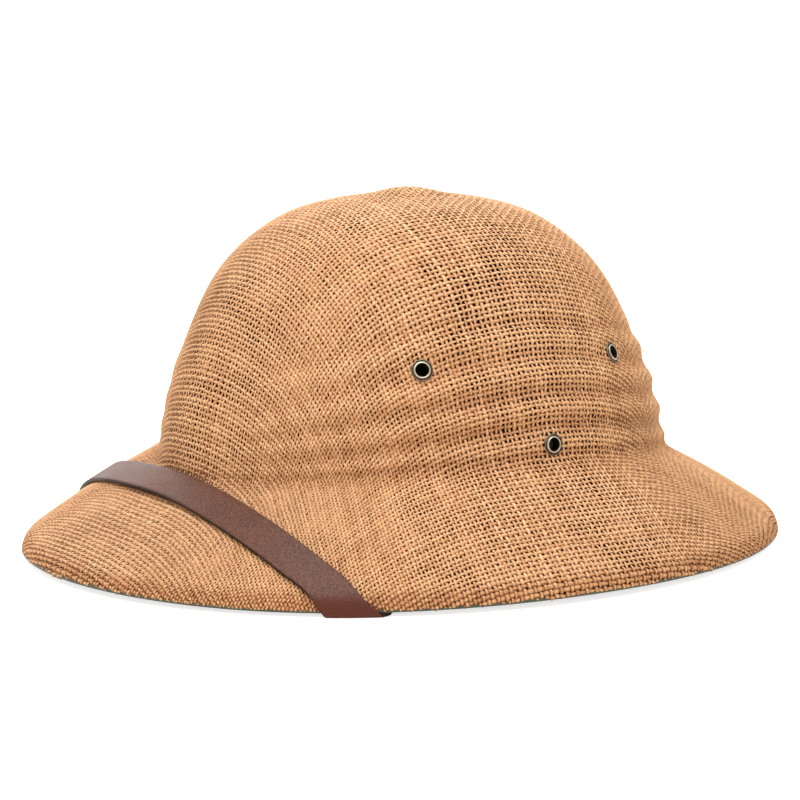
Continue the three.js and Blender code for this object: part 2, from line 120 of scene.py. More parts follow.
def worked(tree, operation, *values, **settings):
    """What comes out of a sum on up to three values."""
    return add_node(tree, "ShaderNodeMath", dict(enumerate(values)), operation=operation, **settings).outputs[0]


def seen_or_lit(tree, seen, lit):
    """One value where the camera looks straight at a surface, and another for the light that it gives."""
    ray = add_node(tree, "ShaderNodeLightPath").outputs["Is Camera Ray"]
    return add_node(tree, "ShaderNodeMapRange", {"Value": ray, "To Min": lit, "To Max": seen}).outputs["Result"]


def new_paint(name, plain):
    """A material with its plain values set: the material, its tree, its place on the piece and its shader."""
    paint = bpy.data.materials.new(name)
    paint.use_nodes = True
    shader = paint.node_tree.nodes["Principled BSDF"]
    fill(shader, plain)
    return paint, paint.node_tree, add_node(paint.node_tree, "ShaderNodeTexCoord").outputs["Object"], shader


sky = bpy.data.worlds.new("pale_sky")
sky.use_nodes = True
sky_glow = seen_or_lit(sky.node_tree, seen=1.0, lit=0.52)
fill(sky.node_tree.nodes["Background"], {"Color": (1, 1, 1, 1), "Strength": sky_glow})
bpy.context.scene.world = sky
bpy.context.scene.view_settings.view_transform = "Standard"

# The floor shines a little, so that it looks as pale as the sky, but not under the hat, where its shine
# would show through the vents. Seen from below it shines all over.
floor_reach = 9
dark_half_width, dark_half_length = 0.14, 0.164
dark_from, dark_to = 0.75, 0.95
floor_paint, floor_tree, floor_spot, floor_shader = new_paint("floor_paint", {
    "Base Color": linear(246, 236, 222), "Roughness": 0.9, "Specular IOR Level": 0.1,
    "Emission Color": (1, 1, 1, 1),
})
floor_scale = (1 / dark_half_width, 1 / dark_half_length, 0)
floor_spot = add_node(floor_tree, "ShaderNodeVectorMath", {0: floor_spot, 1: floor_scale}, operation="MULTIPLY")
from_middle = add_node(floor_tree, "ShaderNodeVectorMath", {0: floor_spot.outputs["Vector"]}, operation="LENGTH")
floor_open = add_node(floor_tree, "ShaderNodeMapRange", {
    "Value": from_middle.outputs["Value"], "From Min": dark_from, "From Max": dark_to,
})
floor_below = add_node(floor_tree, "ShaderNodeNewGeometry").outputs["Backfacing"]
floor_open = worked(floor_tree, "MAXIMUM", floor_open.outputs["Result"], floor_below)
floor_glow = seen_or_lit(floor_tree, seen=0.75, lit=0.2)
fill(floor_shader, {"Emission Strength": worked(floor_tree, "MULTIPLY", floor_glow, floor_open)})
floor_mesh = bpy.data.meshes.new("floor")
floor_corners = [(x * floor_reach, y * floor_reach, 0) for x, y in ((-1, -1), (1, -1), (1, 1), (-1, 1))]
floor_mesh.from_pydata(floor_corners, [], [(0, 1, 2, 3)])
floor_mesh.materials.append(floor_paint)
place("floor", floor_mesh)

# The helmet's form: a thin stiff shell moulded to shape, crown and brim in one, that the straw cloth is
# pressed over. It shows only between the straws, where its outer face is painted near-black as painted shade
# in the holes, and as the plain inside of the crown.
brim_length = 0.3274
brim_width = 0.280
crown_length = 0.220
crown_width = 0.1855
crown_set_back = 0.0038
dome_height = 0.1399
foot_height = 0.0365
foot_side_rise = 0.0056
foot_front_rise = 0.0012
foot_fillet = 0.003
boss_radius = 0.019
boss_height = 0.0021
shell_wall = 0.0025
rim_chamfer = 0.0006
rim_flat = 0.0002
fold_depth = 0.0016
fold_foot_fade = 0.04
rim_corner_dip = 0.0011
standing_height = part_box("straw_shell")[1][2] - (dome_height + boss_height)
vent_height = 0.0781
vent_spread = 27.4
low_vent_height = 0.0474
low_vent_back = 1.1
vent_flange = 0.00425
ground_depth = 0.0011
small_step = 1e-3

crown_fullness = {
    "climb": [0, 15, 30, 45, 60, 72, 90],
    "share": [1, 0.985, 0.991, 1.054, 1.15, 1.28, 1.39],
}
brim_profile = {
    "out": [0, 0.2, 0.4, 0.6, 0.8, 0.92, 0.98, 1],
    "drop": [1, 0.837, 0.671, 0.491, 0.297, 0.176, 0.089, 0],
}
fold_table = {
    "angle": [0, 15, 35, 60, 90, 145, 180],
    "first": [0.3, 0.335, 0.405, 0.49, 0.508, 0.43, 0.4],
    "second": [0.18, 0.2, 0.265, 0.32, 0.36, 0.3, 0.28],
    "third": [0.115, 0.125, 0.152, 0.195, 0.227, 0.18, 0.17],
    "fourth": [0.058, 0.058, 0.062, 0.074, 0.094, 0.064, 0.06],
    "depth": [0, 0.1, 0.45, 1, 1, 1, 0.7],
}
fold_tail = 0.6


def curve_through(table, key_name, value_name):
    """A smooth function through two columns of a table, held level past both ends."""
    keys = np.array(table[key_name], float)
    values = np.array(table[value_name], float)
    last = len(keys) - 1
    before = np.maximum(np.arange(last + 1) - 1, 0)
    after = np.minimum(np.arange(last + 1) + 1, last)
    slopes = (values[after] - values[before]) / (keys[after] - keys[before])

    def at(key):
        i = np.clip(np.searchsorted(keys, key) - 1, 0, last - 1)
        span = keys[i + 1] - keys[i]
        t = np.clip((key - keys[i]) / span, 0, 1)
        bend = slopes[i] * t * (1 - t) ** 2 - slopes[i + 1] * t * t * (1 - t)
        return values[i] + (values[i + 1] - values[i]) * t * t * (3 - 2 * t) + span * bend

    return at


fullness_at = curve_through(crown_fullness, "climb", "share")
brim_drop_at = curve_through(brim_profile, "out", "drop")
fold_depth_at = curve_through(fold_table, "angle", "depth")
fold_heights = [curve_through(fold_table, "angle", name) for name in ("first", "second", "third", "fourth")]


def smoothstep(value, low, high):
    t = np.clip((value - low) / (high - low), 0, 1)
    return t * t * (3 - 2 * t)


def stack(x, y, z):
    return np.stack(np.broadcast_arrays(x, y, z), -1).astype(float)


def unit(vectors):
    return vectors / np.maximum(np.linalg.norm(vectors, axis=-1, keepdims=True), 1e-12)


def dot(a, b):
    return (a * b).sum(-1)


def foot_level(angle):
    return foot_height + foot_front_rise * np.cos(angle) - foot_side_rise * np.cos(2 * angle)


def smooth_crown(angle, climb):
    """The crown without its folds: climb runs from 0 at the foot to a quarter turn at the top."""
    rise = np.sin(climb)
    girth = np.cos(climb) * fullness_at(np.degrees(climb))
    x = crown_width / 2 * girth * np.sin(angle)
    y = -crown_length / 2 * girth * np.cos(angle)
    foot = foot_level(angle)
    boss = boss_height * (1 - smoothstep(np.hypot(x, y), boss_radius * 0.1, boss_radius))
    height = foot + (dome_height - foot) * rise + boss + standing_height
    return stack(x, y + crown_set_back * (1 - rise), height)


def brim_point(angle, out):
    """A point on the brim, whose rim hangs a little lower at the hat's four corners."""
    width = (crown_width + (brim_width - crown_width) * out) / 2
    length = (crown_length + (brim_length - crown_length) * out) / 2
    dip = rim_corner_dip * np.sin(2 * angle) ** 2 * np.maximum(out, 0) ** 3
    level = foot_level(angle) * brim_drop_at(out) - dip + standing_height
    return stack(width * np.sin(angle), crown_set_back * (1 - out) - length * np.cos(angle), level)


def normal_of(surface, angle, value):
    along = surface(angle + small_step, value) - surface(angle - small_step, value)
    across = surface(angle, value + small_step) - surface(angle, value - small_step)
    normal = unit(np.cross(along, across))
    outward = stack(np.sin(angle), -np.cos(angle), 1)
    return normal * np.where(dot(normal, outward) < 0, -1, 1)[..., None]


def under(surface, angle, value, depth):
    """A point or ring at a depth under the crown or the brim, square to its surface."""
    return surface(angle, value) - normal_of(surface, angle, value) * depth


vents = []
for side in (1, -1):
    for offset, height in ((-vent_spread, vent_height), (vent_spread, vent_height), (low_vent_back, low_vent_height)):
        angle = side * math.radians(90 + offset)
        climb = np.arcsin((height - foot_level(angle)) / (dome_height - foot_level(angle)))
        vents.append((smooth_crown(angle, climb), normal_of(smooth_crown, angle, climb)))


def from_front(angle):
    """How far an angle is from the front of the hat, on either side, in degrees."""
    return np.degrees(np.arccos(np.clip(np.cos(angle), -1, 1)))


def fold_count(angle, rise):
    """Counts the folds from the upper edge of the first one downwards: 0 there, 1 at the second, and so on."""
    edges = [height_at(from_front(angle)) for height_at in fold_heights]
    count = (edges[0] - rise) / (edges[0] - edges[1])
    for i in range(1, len(edges) - 1):
        count = np.where(rise > edges[i], count, i + (edges[i] - rise) / (edges[i] - edges[i + 1]))
    return np.where(rise > edges[-1], count, len(edges) - 1 + fold_tail * (1 - rise / edges[-1]))


def crown_point(angle, climb):
    """The crown with its folds, which die away at the front, at the foot and round the vents."""
    point = smooth_crown(angle, climb)
    rise = np.sin(climb)
    count = fold_count(angle, rise)
    swell = fold_depth / 2 * fold_depth_at(from_front(angle)) * np.sin(TURN * count)
    swell = swell * smoothstep(count, -fold_tail, 0) * smoothstep(rise, 0, fold_foot_fade)
    for seat, axis in vents:
        swell = swell * smoothstep(np.linalg.norm(point - seat, axis=-1), vent_flange, 2 * vent_flange)
    outward = unit(stack(np.sin(angle) / crown_width, -np.cos(angle) / crown_length, 0))
    return point + outward * swell[..., None]


fillet_out = 2 * foot_fillet / (brim_width - crown_width)


def fillet_climb(angle):
    return np.arcsin(foot_fillet / (dome_height - foot_level(angle)))


def fillet_point(angle, t):
    """The hollow of the crown's foot, rounded between a point on the crown and one on the brim."""
    start, corner, end = crown_point(angle, fillet_climb(angle)), brim_point(angle, 0), brim_point(angle, fillet_out)
    return start * (1 - t) ** 2 + corner * 2 * t * (1 - t) + end * t * t


def rim_line(angles, inward, level):
    """A line round the rim's edge, so far inwards of it and so far over its lowest line."""
    normal = unit(stack(np.sin(angles) / brim_width, -np.cos(angles) / brim_length, 0))
    return brim_point(angles, 1) - normal * inward + (0, 0, level)


# The form's outer face as one table: a row for each angle round the hat, and along each row a point for
# every half millimetre of the way from the top of the crown to the rim and a little past it.
round_count = 720
way_step = 0.0005
past_rim = 0.012
edge_starts = 0.9
round_angles = np.arange(round_count) * TURN / round_count
from_top = (fillet_climb(round_angles) - math.pi / 2) * np.linspace(0, 1, 420)[:-1, None]
ways = [crown_point(round_angles, math.pi / 2 + climb) for climb in from_top]
ways += [fillet_point(round_angles, t) for t in np.linspace(0, 1, 13)[:-1]]
outs = [*np.linspace(fillet_out, edge_starts, 70)[:-1], *np.linspace(edge_starts, 1, 40)]
ways = np.stack(ways + [brim_point(round_angles, out) for out in outs], 1)
ways = np.concatenate([ways, ways[:, -1:] + past_rim * unit(ways[:, -1:] - ways[:, -2:-1])], 1)
travel = np.linalg.norm(np.diff(ways, axis=1), axis=-1).cumsum(1)
travel = np.concatenate([np.zeros((round_count, 1)), travel], 1)
rim_travel = travel[:, -2]
way_count = int(travel[:, -1].max() / way_step) + 1
grid_travel = np.arange(way_count) * way_step
face_table = np.stack([
    np.stack([np.interp(grid_travel, travel[j], ways[j, :, axis]) for axis in range(3)], -1)
    for j in range(round_count)
])
round_slope = (np.roll(face_table, -1, 0) - np.roll(face_table, 1, 0)) / (2 * TURN / round_count)
way_slope = np.gradient(face_table, axis=1) / way_step
normal_table = unit(np.cross(way_slope, round_slope))
normal_table[:, :3] = (0, 0, 1)


def turn_parts(angle):
    """The two rows of a table round the hat that an angle lies between, and its share of the way to the second."""
    turn = (angle % TURN) / TURN * round_count
    i = np.floor(turn).astype(int) % round_count
    return i, (i + 1) % round_count, turn - np.floor(turn)


def read(table, angle, travelled):
    """Reads a table of the outer face at angles round the hat and distances from the top."""
    i, k, f = turn_parts(angle)
    along = np.clip(travelled / way_step, 0, way_count - 1.001)
    j = along.astype(int)
    g = along - j
    if table.ndim == 3:
        f, g = f[..., None], g[..., None]
    near = table[i, j] * (1 - g) + table[i, j + 1] * g
    far = table[k, j] * (1 - g) + table[k, j + 1] * g
    return near * (1 - f) + far * f


def rim_way(angle):
    """The distance from the top of the crown to the rim."""
    i, k, f = turn_parts(angle)
    return rim_travel[i] * (1 - f) + rim_travel[k] * f


def skin(rings, closed=False):
    """Points and faces of a tube through rings of points; an open tube's ends close on their middle points."""
    rings = np.asarray(rings, float)
    count, around = rings.shape[:2]
    points = rings.reshape(-1, 3)
    faces = []
    for i in range(count if closed else count - 1):
        a, b = i * around, (i + 1) % count * around
        faces += [(a + j, a + (j + 1) % around, b + (j + 1) % around, b + j) for j in range(around)]
    if not closed:
        points = np.concatenate([points, rings[[0, -1]].mean(1)])
        first, last = count * around, count * around + 1
        start = (count - 1) * around
        faces += [(first, (j + 1) % around, j) for j in range(around)]
        faces += [(last, start + j, start + (j + 1) % around) for j in range(around)]
    return points, faces


def face_outwards(mesh):
    """Turns every face over if the closed mesh is inside out."""
    mesh.calc_loop_triangles()
    corners = np.empty(len(mesh.loop_triangles) * 3, int)
    mesh.loop_triangles.foreach_get("vertices", corners)
    points = np.empty(len(mesh.vertices) * 3)
    mesh.vertices.foreach_get("co", points)
    a, b, c = points.reshape(-1, 3)[corners.reshape(-1, 3)].transpose(1, 0, 2)
    if dot(a, np.cross(b, c)).sum() < 0:
        mesh.flip_normals()


def closed_piece(name, points, faces, material):
    """A piece at the origin from its points and faces, smooth and turned outwards."""
    mesh = bpy.data.meshes.new(name)
    mesh.from_pydata([tuple(p) for p in np.asarray(points, float).tolist()], [], faces)
    mesh.polygons.foreach_set("use_smooth", [True] * len(mesh.polygons))
    mesh.materials.append(material)
    mesh.update()
    face_outwards(mesh)
    return place(name, mesh)


def point_values(mesh, name, values, kind="FLOAT"):
    """Gives a mesh one value or one vector for each of its points, for materials and node trees to read."""
    layer = mesh.attributes.new(name, kind, "POINT")
    layer.data.foreach_set("value" if kind == "FLOAT" else "vector", np.asarray(values, float).ravel())


def new_group(name, kind, inputs, output, output_kind):
    """An empty node group with named inputs and one output: its tree, its inputs and their identifiers."""
    tree = bpy.data.node_groups.new(name, kind)
    sockets = {}
    for key, socket_kind in inputs.items():
        sockets[key] = tree.interface.new_socket(name=key, in_out="INPUT", socket_type=socket_kind).identifier
    tree.interface.new_socket(name=output, in_out="OUTPUT", socket_type=output_kind)
    return tree, add_node(tree, "NodeGroupInput").outputs, sockets


# Soft patches, which every finish of the helmet has at its own scale: noise, times a gain, over a level.
patch_inputs = {key: "NodeSocketFloat" for key in ("Scale", "Detail", "Gain", "Level")}
soft_patches, patch_given, _ = new_group(
    "soft_patches", "ShaderNodeTree", {"Place": "NodeSocketVector", **patch_inputs}, "Share", "NodeSocketFloat",
)
patch_noise = add_node(soft_patches, "ShaderNodeTexNoise", {
    "Vector": patch_given["Place"], "Scale": patch_given["Scale"], "Detail": patch_given["Detail"],
}).outputs["Fac"]
patch_share = worked(soft_patches, "MULTIPLY_ADD", patch_noise, patch_given["Gain"], patch_given["Level"])
add_node(soft_patches, "NodeGroupOutput", {"Share": patch_share})


def patches(tree, spot, scale, detail, gain=1.0, level=0.0):
    """The share that the group of soft patches gives in a material."""
    values = {"Place": spot, "Scale": scale, "Detail": detail, "Gain": gain, "Level": level}
    return add_node(tree, "ShaderNodeGroup", values, node_tree=soft_patches).outputs["Share"]


def blend(tree, share, first, second, **settings):
    """Two colours mixed by a share."""
    values = {"Factor": share, "A": first, "B": second}
    return add_node(tree, "ShaderNodeMix", values, data_type="RGBA", **settings).outputs["Result"]


def mesh_value(tree, name):
    """A value that the piece's mesh carries at its points."""
    return add_node(tree, "ShaderNodeAttribute", attribute_name=name).outputs["Fac"]


form_paint, form_tree, form_spot, form_shader = new_paint("moulded_form", {
    "Roughness": 0.9, "Specular IOR Level": 0.05,
})
# Painted shade: the outer face is near-black so that the holes between the straws look dark; the inside keeps the
# form's plain brown.
painted_hole_shade = blend(form_tree, patches(form_tree, form_spot, 420.0, 4.0), linear(20, 8, 3), linear(34, 15, 7))
fill(form_shader, {"Base Color": blend(form_tree, mesh_value(form_tree, "inside"), painted_hole_shade, linear(112, 80, 54))})

form_round = 200
form_angles = np.arange(form_round) * TURN / form_round
outer_rows = []
for share in [0.002, *np.linspace(0.012, 1, 150)[:-1]]:
    row_way = share * rim_way(form_angles)
    outer_rows.append(read(face_table, form_angles, row_way) - read(normal_table, form_angles, row_way) * ground_depth)
outer_rows.append(rim_line(form_angles, ground_depth, rim_chamfer * 1.5))
outer_rows.append(rim_line(form_angles, ground_depth + rim_chamfer, rim_flat))
inner_rows = [rim_line(form_angles, shell_wall - rim_chamfer, rim_flat), rim_line(form_angles, shell_wall, rim_chamfer)]
for out in [0.95, 0.9, 0.8, 0.65, 0.5, 0.35, 0.2, 0.1, 0.05]:
    inner_rows.append(under(brim_point, form_angles, out, shell_wall))
for climb in np.radians([5, 8, 12, 16, 21, 26, 31, 36, 42, 48, 54, 60, 66, 72, 78, 83, 86.5, 89]):
    inner_rows.append(under(smooth_crown, form_angles, climb, shell_wall))
form = closed_piece("moulded_form", *skin(outer_rows + inner_rows), form_paint)
inside_rows = np.repeat([0, 1], [len(outer_rows), len(inner_rows)])
point_values(form.data, "inside", [*np.repeat(inside_rows, form_round), 0, 1])


def about(axis, seat, profile, steps):
    """Rings of a turned piece: radius and height pairs round an axis that starts at a seat."""
    side = unit(np.cross(axis, (0, 0, 1)))
    other = np.cross(axis, side)
    angles = np.arange(steps) * TURN / steps
    circle = np.cos(angles)[:, None] * side + np.sin(angles)[:, None] * other
    return np.stack([seat + circle * radius + axis * height for radius, height in profile])


# The six vent holes are cut through the form together.
vent_hole = 0.0030
drill_ends = (-0.008, 0.006)
cut_points, cut_faces = [], []
for seat, axis in vents:
    points, faces = skin(about(axis, seat, [(vent_hole, height) for height in drill_ends], 32))
    cut_faces += [tuple(i + len(cut_points) for i in face) for face in faces]
    cut_points += points.tolist()
cutter = closed_piece("vent_cutter", cut_points, cut_faces, form_paint)
cut = form.modifiers.new("vents", "BOOLEAN")
cut.operation, cut.object, cut.solver = "DIFFERENCE", cutter, "EXACT"
bpy.context.view_layer.update()
form.data = bpy.data.meshes.new_from_object(form.evaluated_get(bpy.context.evaluated_depsgraph_get()))
form.modifiers.remove(cut)
bpy.data.objects.remove(cutter)
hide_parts("straw_shell")
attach(form, "root")

# The straw cloth: flat straws woven over and under each other, one square cloth pressed over crown and
# brim in one piece. Its straws run fore and aft and from side to side, so that they cross squarely at
# the front and sides of the hat and are pulled aslant and close together at its four corners.
straw_seed = 7
straw_pitch = 0.00215
straw_breadth = 0.0019
straw_thickness = 0.00034
straw_wander = 0.00013
patch_wander = 0.00025
straw_jitter = 0.00012
cover_share = 0.61
rim_cover = 0.12
corner_cover = 0.1
corner_from, corner_full = 0.03, 0.08
cover_least, cover_most = 0.42, 0.95
breadth_least, breadth_most = 0.3, 1.1
weave_rise = 0.0002
weave_level = -0.00024
rim_tuck = 0.0003
rim_band = (-0.010, -0.004)
vent_cut = 0.0033
hollow_depth = 0.0008
# How strongly painted shade near the rim and in the hollows, and a painted highlight on the overs, shift the straws'
# tone.
rim_shade, hollow_shade, over_shine = 4, 1.5, 1.0
parts_each = 4

girth_reach = 24
window = np.ones(2 * girth_reach + 1) / (2 * girth_reach + 1)
girth_table = np.stack([
    np.convolve(np.pad(row, girth_reach, mode="reflect", reflect_type="odd"), window, mode="valid")
    for row in np.linalg.norm(round_slope, axis=-1)
])
pull_from, pull_full = 0.004, 0.03
draw_in_table = 1 - girth_table / np.maximum(grid_travel, way_step)
draw_in_table = draw_in_table * smoothstep(grid_travel, pull_from, pull_full)
hollow_reach = 9
hollow_table = np.zeros(face_table.shape[:2])
beside_way = (face_table[:, :-2 * hollow_reach] + face_table[:, 2 * hollow_reach:]) / 2
middle_way = slice(hollow_reach, -hollow_reach)
hollow_table[:, middle_way] = dot(beside_way - face_table[:, middle_way], normal_table[:, middle_way])


def cloth_place(east, north):
    """Where a point of the flat cloth lies on the hat: its angle round the hat and distance from the top."""
    travelled = np.hypot(east, north)
    flat_angle = np.arctan2(east, -north)
    angle = flat_angle
    for step in range(14):
        angle = flat_angle + read(draw_in_table, angle, travelled) / 4 * np.sin(4 * angle)
    return angle, travelled


def drift(random, shape, cell, amount):
    """Slow random change over a grid: random values every so many cells, with smooth steps between them."""
    rows, columns = shape
    coarse = random.normal(0, amount, (rows // cell[0] + 3, columns // cell[1] + 3))
    r, c = np.arange(rows) / cell[0], np.arange(columns) / cell[1]
    i, j = r.astype(int), c.astype(int)
    f, g = smoothstep(r - i, 0, 1)[:, None], smoothstep(c - j, 0, 1)[None, :]
    top = coarse[np.ix_(i, j)] * (1 - g) + coarse[np.ix_(i, j + 1)] * g
    low = coarse[np.ix_(i + 1, j)] * (1 - g) + coarse[np.ix_(i + 1, j + 1)] * g
    return top * (1 - f) + low * f


random = np.random.default_rng(straw_seed)
half_count = int(grid_travel[-1] / straw_pitch) + 1
middles = (np.arange(-half_count, half_count) + 0.5) * straw_pitch
size = (len(middles), len(middles))


def wandering(lines, cell):
    """The straws of one direction on the flat cloth: even lines that stray singly, in patches and at random."""
    lines = lines + drift(random, size, cell, straw_wander)
    return lines + drift(random, size, (9, 9), patch_wander) + random.normal(0, straw_jitter, size)


east_lines = wandering(middles[:, None], (1, 14))
north_lines = wandering(middles[None, :], (14, 1))
cover = cover_share + (drift(random, size, (12, 12), 0.03) + drift(random, size, (3, 3), 0.055))


def quarter_stations(grid):
    """Two values for each crossing along the second axis: a quarter of the way back and forward."""
    back = grid - 0.25 * np.diff(grid, axis=1, prepend=grid[:, :1])
    forward = grid + 0.25 * np.diff(grid, axis=1, append=grid[:, -1:])
    return np.stack([back, forward], -1).reshape(grid.shape[0], -1)


def cut_end(values, outside, end, beyond):
    """The point where a straw is cut between its last point and the next, or none where it has no next."""
    if not 0 <= beyond < len(values):
        return values[:0]
    share = outside[end] / (outside[end] - outside[beyond])
    return [values[end] + share * (values[beyond] - values[end])]


def straw_runs(east, north, parity, cover, random):
    """The straws of one direction, as runs of points with their facing, share of the breadth, and tone with painted
    light.
    """
    east, north, cover = quarter_stations(east), quarter_stations(north), quarter_stations(cover)
    rows, columns = east.shape
    angle, travelled = cloth_place(east, north)
    point = read(face_table, angle, travelled)
    normal = unit(read(normal_table, angle, travelled))
    from_rim = travelled - rim_way(angle) + rim_tuck
    outside = from_rim
    for seat, axis in vents:
        outside = np.maximum(outside, vent_cut - np.linalg.norm(point - seat, axis=-1))
    along = np.gradient(point, axis=1)
    beside = np.gradient(point, axis=0)
    spacing = np.linalg.norm(np.cross(along, beside), axis=-1) / np.maximum(np.linalg.norm(along, axis=-1), 1e-9)
    near_rim = smoothstep(from_rim, *rim_band)
    at_corner = np.sin(2 * angle) ** 2 * smoothstep(travelled, corner_from, corner_full)
    cover = np.clip(cover + rim_cover * near_rim + corner_cover * at_corner, cover_least, cover_most)
    breadth = np.minimum(spacing * cover, straw_breadth) / straw_breadth
    breadth = breadth * (1 + random.normal(0, 0.06, (rows, 1)) + random.normal(0, 0.1, (rows, columns)))
    breadth = np.clip(breadth, breadth_least, breadth_most)
    over = np.where((np.arange(rows)[:, None] + np.arange(columns)[None, :] // 2) % 2 == parity, 1, -1)
    point = point + normal * (weave_level + weave_rise * over * (1 + near_rim))[..., None]
    hollow = np.clip(read(hollow_table, angle, travelled) / hollow_depth, -0.5, 1.2)
    tone_and_painted_light = random.normal(0, 1, (rows, 1)) + drift(random, (rows, columns), (1, 40), 0.6)
    # Painted shade near the rim and in the hollows of the folds and the crown's foot, and a painted highlight where a
    # straw passes over.
    tone_and_painted_light = tone_and_painted_light - rim_shade * near_rim - hollow_shade * hollow + over_shine * over
    values = np.concatenate([point, normal, breadth[..., None], tone_and_painted_light[..., None]], -1)
    runs = []
    for straw, out in zip(values, outside):
        inside = np.flatnonzero(out < 0)
        for part in np.split(inside, np.flatnonzero(np.diff(inside) > 1) + 1):
            if len(part) > 2:
                start = cut_end(straw, out, part[0], part[0] - 1)
                runs.append(np.concatenate([start, straw[part], cut_end(straw, out, part[-1], part[-1] + 1)]))
    return runs


def finish_tree(tree, geometry, material):
    """Ends a tree: its copies become real and get their material."""
    whole = add_node(tree, "GeometryNodeRealizeInstances", {"Geometry": geometry})
    painted = add_node(tree, "GeometryNodeSetMaterial", {"Geometry": whole.outputs[0], "Material": material})
    add_node(tree, "NodeGroupOutput", {"Geometry": painted.outputs[0]})


def point_value(tree, name, kind):
    return add_node(tree, "GeometryNodeInputNamedAttribute", {"Name": name}, data_type=kind).outputs[0]


def straw_tree(material):
    """A tree that sweeps guide lines into flat closed straws with a low ridge, with their sizes as inputs."""
    tree, given, sockets = new_group("straws_along_lines", "GeometryNodeTree", {
        "Geometry": "NodeSocketGeometry", "Breadth": "NodeSocketFloat", "Thickness": "NodeSocketFloat",
    }, "Geometry", "NodeSocketGeometry")
    facing = point_value(tree, "facing", "FLOAT_VECTOR")
    share = point_value(tree, "breadth_share", "FLOAT")
    lines = add_node(tree, "GeometryNodeMeshToCurve", {"Mesh": given["Geometry"]}).outputs[0]
    lines = add_node(tree, "GeometryNodeSetCurveNormal", {"Curve": lines, "Normal": facing}, mode="FREE").outputs[0]

    # The section is a triangle, flattened and with its ridge up. Its corners tell the paint how far out they are.
    ring = add_node(tree, "GeometryNodeCurvePrimitiveCircle", {"Resolution": 3, "Radius": 1.0}, mode="RADIUS")
    wide = worked(tree, "DIVIDE", given["Breadth"], math.sqrt(3))
    high = worked(tree, "DIVIDE", given["Thickness"], 1.5)
    ring_spot = add_node(tree, "GeometryNodeInputPosition").outputs[0]
    ring_spot = add_node(tree, "ShaderNodeSeparateXYZ", {"Vector": ring_spot}).outputs["Y"]
    marked = add_node(tree, "GeometryNodeStoreNamedAttribute", {
        "Geometry": ring.outputs[0], "Name": "side", "Value": worked(tree, "DIVIDE", ring_spot, math.sqrt(0.75)),
    }, data_type="FLOAT", domain="POINT")
    scale = add_node(tree, "ShaderNodeCombineXYZ", {"X": high, "Y": wide, "Z": 1.0})
    centred = add_node(tree, "ShaderNodeCombineXYZ", {"X": worked(tree, "MULTIPLY", high, -0.25)})
    section = add_node(tree, "GeometryNodeTransform", {
        "Geometry": marked.outputs[0], "Scale": scale.outputs[0], "Translation": centred.outputs[0],
    })
    swept = add_node(tree, "GeometryNodeCurveToMesh", {
        "Curve": lines, "Profile Curve": section.outputs[0], "Scale": share, "Fill Caps": True,
    })
    flat = add_node(tree, "GeometryNodeSetShadeSmooth", {"Geometry": swept.outputs[0], "Shade Smooth": False})
    finish_tree(tree, flat.outputs[0], material)
    return tree, sockets


def grown(thing, tree, inputs):
    """Runs a node tree on an object, and gives the object the plain mesh that comes out."""
    modifier = thing.modifiers.new("grow", "NODES")
    modifier.node_group = tree
    for identifier, value in inputs.items():
        modifier[identifier] = value
    bpy.context.view_layer.update()
    ready = thing.evaluated_get(bpy.context.evaluated_depsgraph_get())
    mesh = bpy.data.meshes.new_from_object(ready)
    thing.modifiers.remove(modifier)
    thing.data = mesh


def line_mesh(name, lines):
    """Guide lines as a mesh of edges, with what the tree reads at their points."""
    points = np.concatenate(lines)
    goes_on = np.ones(len(points), bool)
    goes_on[np.cumsum([len(line) for line in lines]) - 1] = False
    first = np.flatnonzero(goes_on)
    mesh = bpy.data.meshes.new(name)
    mesh.vertices.add(len(points))
    mesh.vertices.foreach_set("co", points[:, :3].ravel())
    mesh.edges.add(len(first))
    mesh.edges.foreach_set("vertices", np.stack([first, first + 1], 1).ravel())
    mesh.update()
    point_values(mesh, "facing", points[:, 3:6], "FLOAT_VECTOR")
    point_values(mesh, "breadth_share", points[:, 6])
    point_values(mesh, "tone_and_painted_light", points[:, 7])
    return mesh


def bump(tree, height, strength, depth):
    """The facing of a surface with this relief."""
    return add_node(tree, "ShaderNodeBump", {"Height": height, "Strength": strength, "Distance": depth}).outputs[0]


straw_paint, straw_nodes, straw_spot, straw_shader = new_paint("woven_straw", {
    "Roughness": 0.55, "Specular IOR Level": 0.42,
})
straw_side = mesh_value(straw_nodes, "side")
straw_edge = worked(straw_nodes, "MULTIPLY", straw_side, straw_side)
# The straws' tone carries their random tone together with painted shade and painted highlights.
straw_shade = worked(straw_nodes, "MULTIPLY_ADD", mesh_value(straw_nodes, "tone_and_painted_light"), 0.045, 0.14)
for patch_scale, patch_strength in ((30.0, 0.2), (900.0, 0.6)):
    straw_shade = patches(straw_nodes, straw_spot, patch_scale, 3.0, patch_strength, straw_shade)
# Painted shade: each straw darkens towards its edges, beside the holes.
straw_shade = worked(straw_nodes, "MULTIPLY_ADD", straw_edge, -0.42, straw_shade)
straw_ramp = add_node(straw_nodes, "ShaderNodeValToRGB", {"Fac": straw_shade})
ramp = straw_ramp.color_ramp.elements
ramp[0].position, ramp[0].color = 0.12, linear(140, 83, 38)
ramp[1].position, ramp[1].color = 0.95, linear(236, 199, 162)
ramp.new(0.52).color = linear(203, 155, 112)
straw_hue = patches(straw_nodes, straw_spot, 160.0, 3.0, 2.4, -0.7)
straw_hue = blend(straw_nodes, straw_hue, (1.0, 1.0, 0.9, 1), (1.0, 0.965, 0.95, 1))
straw_relief = patches(straw_nodes, straw_spot, 2500.0, 2.0, 0.2, worked(straw_nodes, "MULTIPLY", straw_edge, -0.25))
fill(straw_shader, {
    "Base Color": blend(straw_nodes, 1.0, straw_ramp.outputs[0], straw_hue, blend_type="MULTIPLY"),
    "Normal": bump(straw_nodes, straw_relief, 1.0, 0.0002),
})

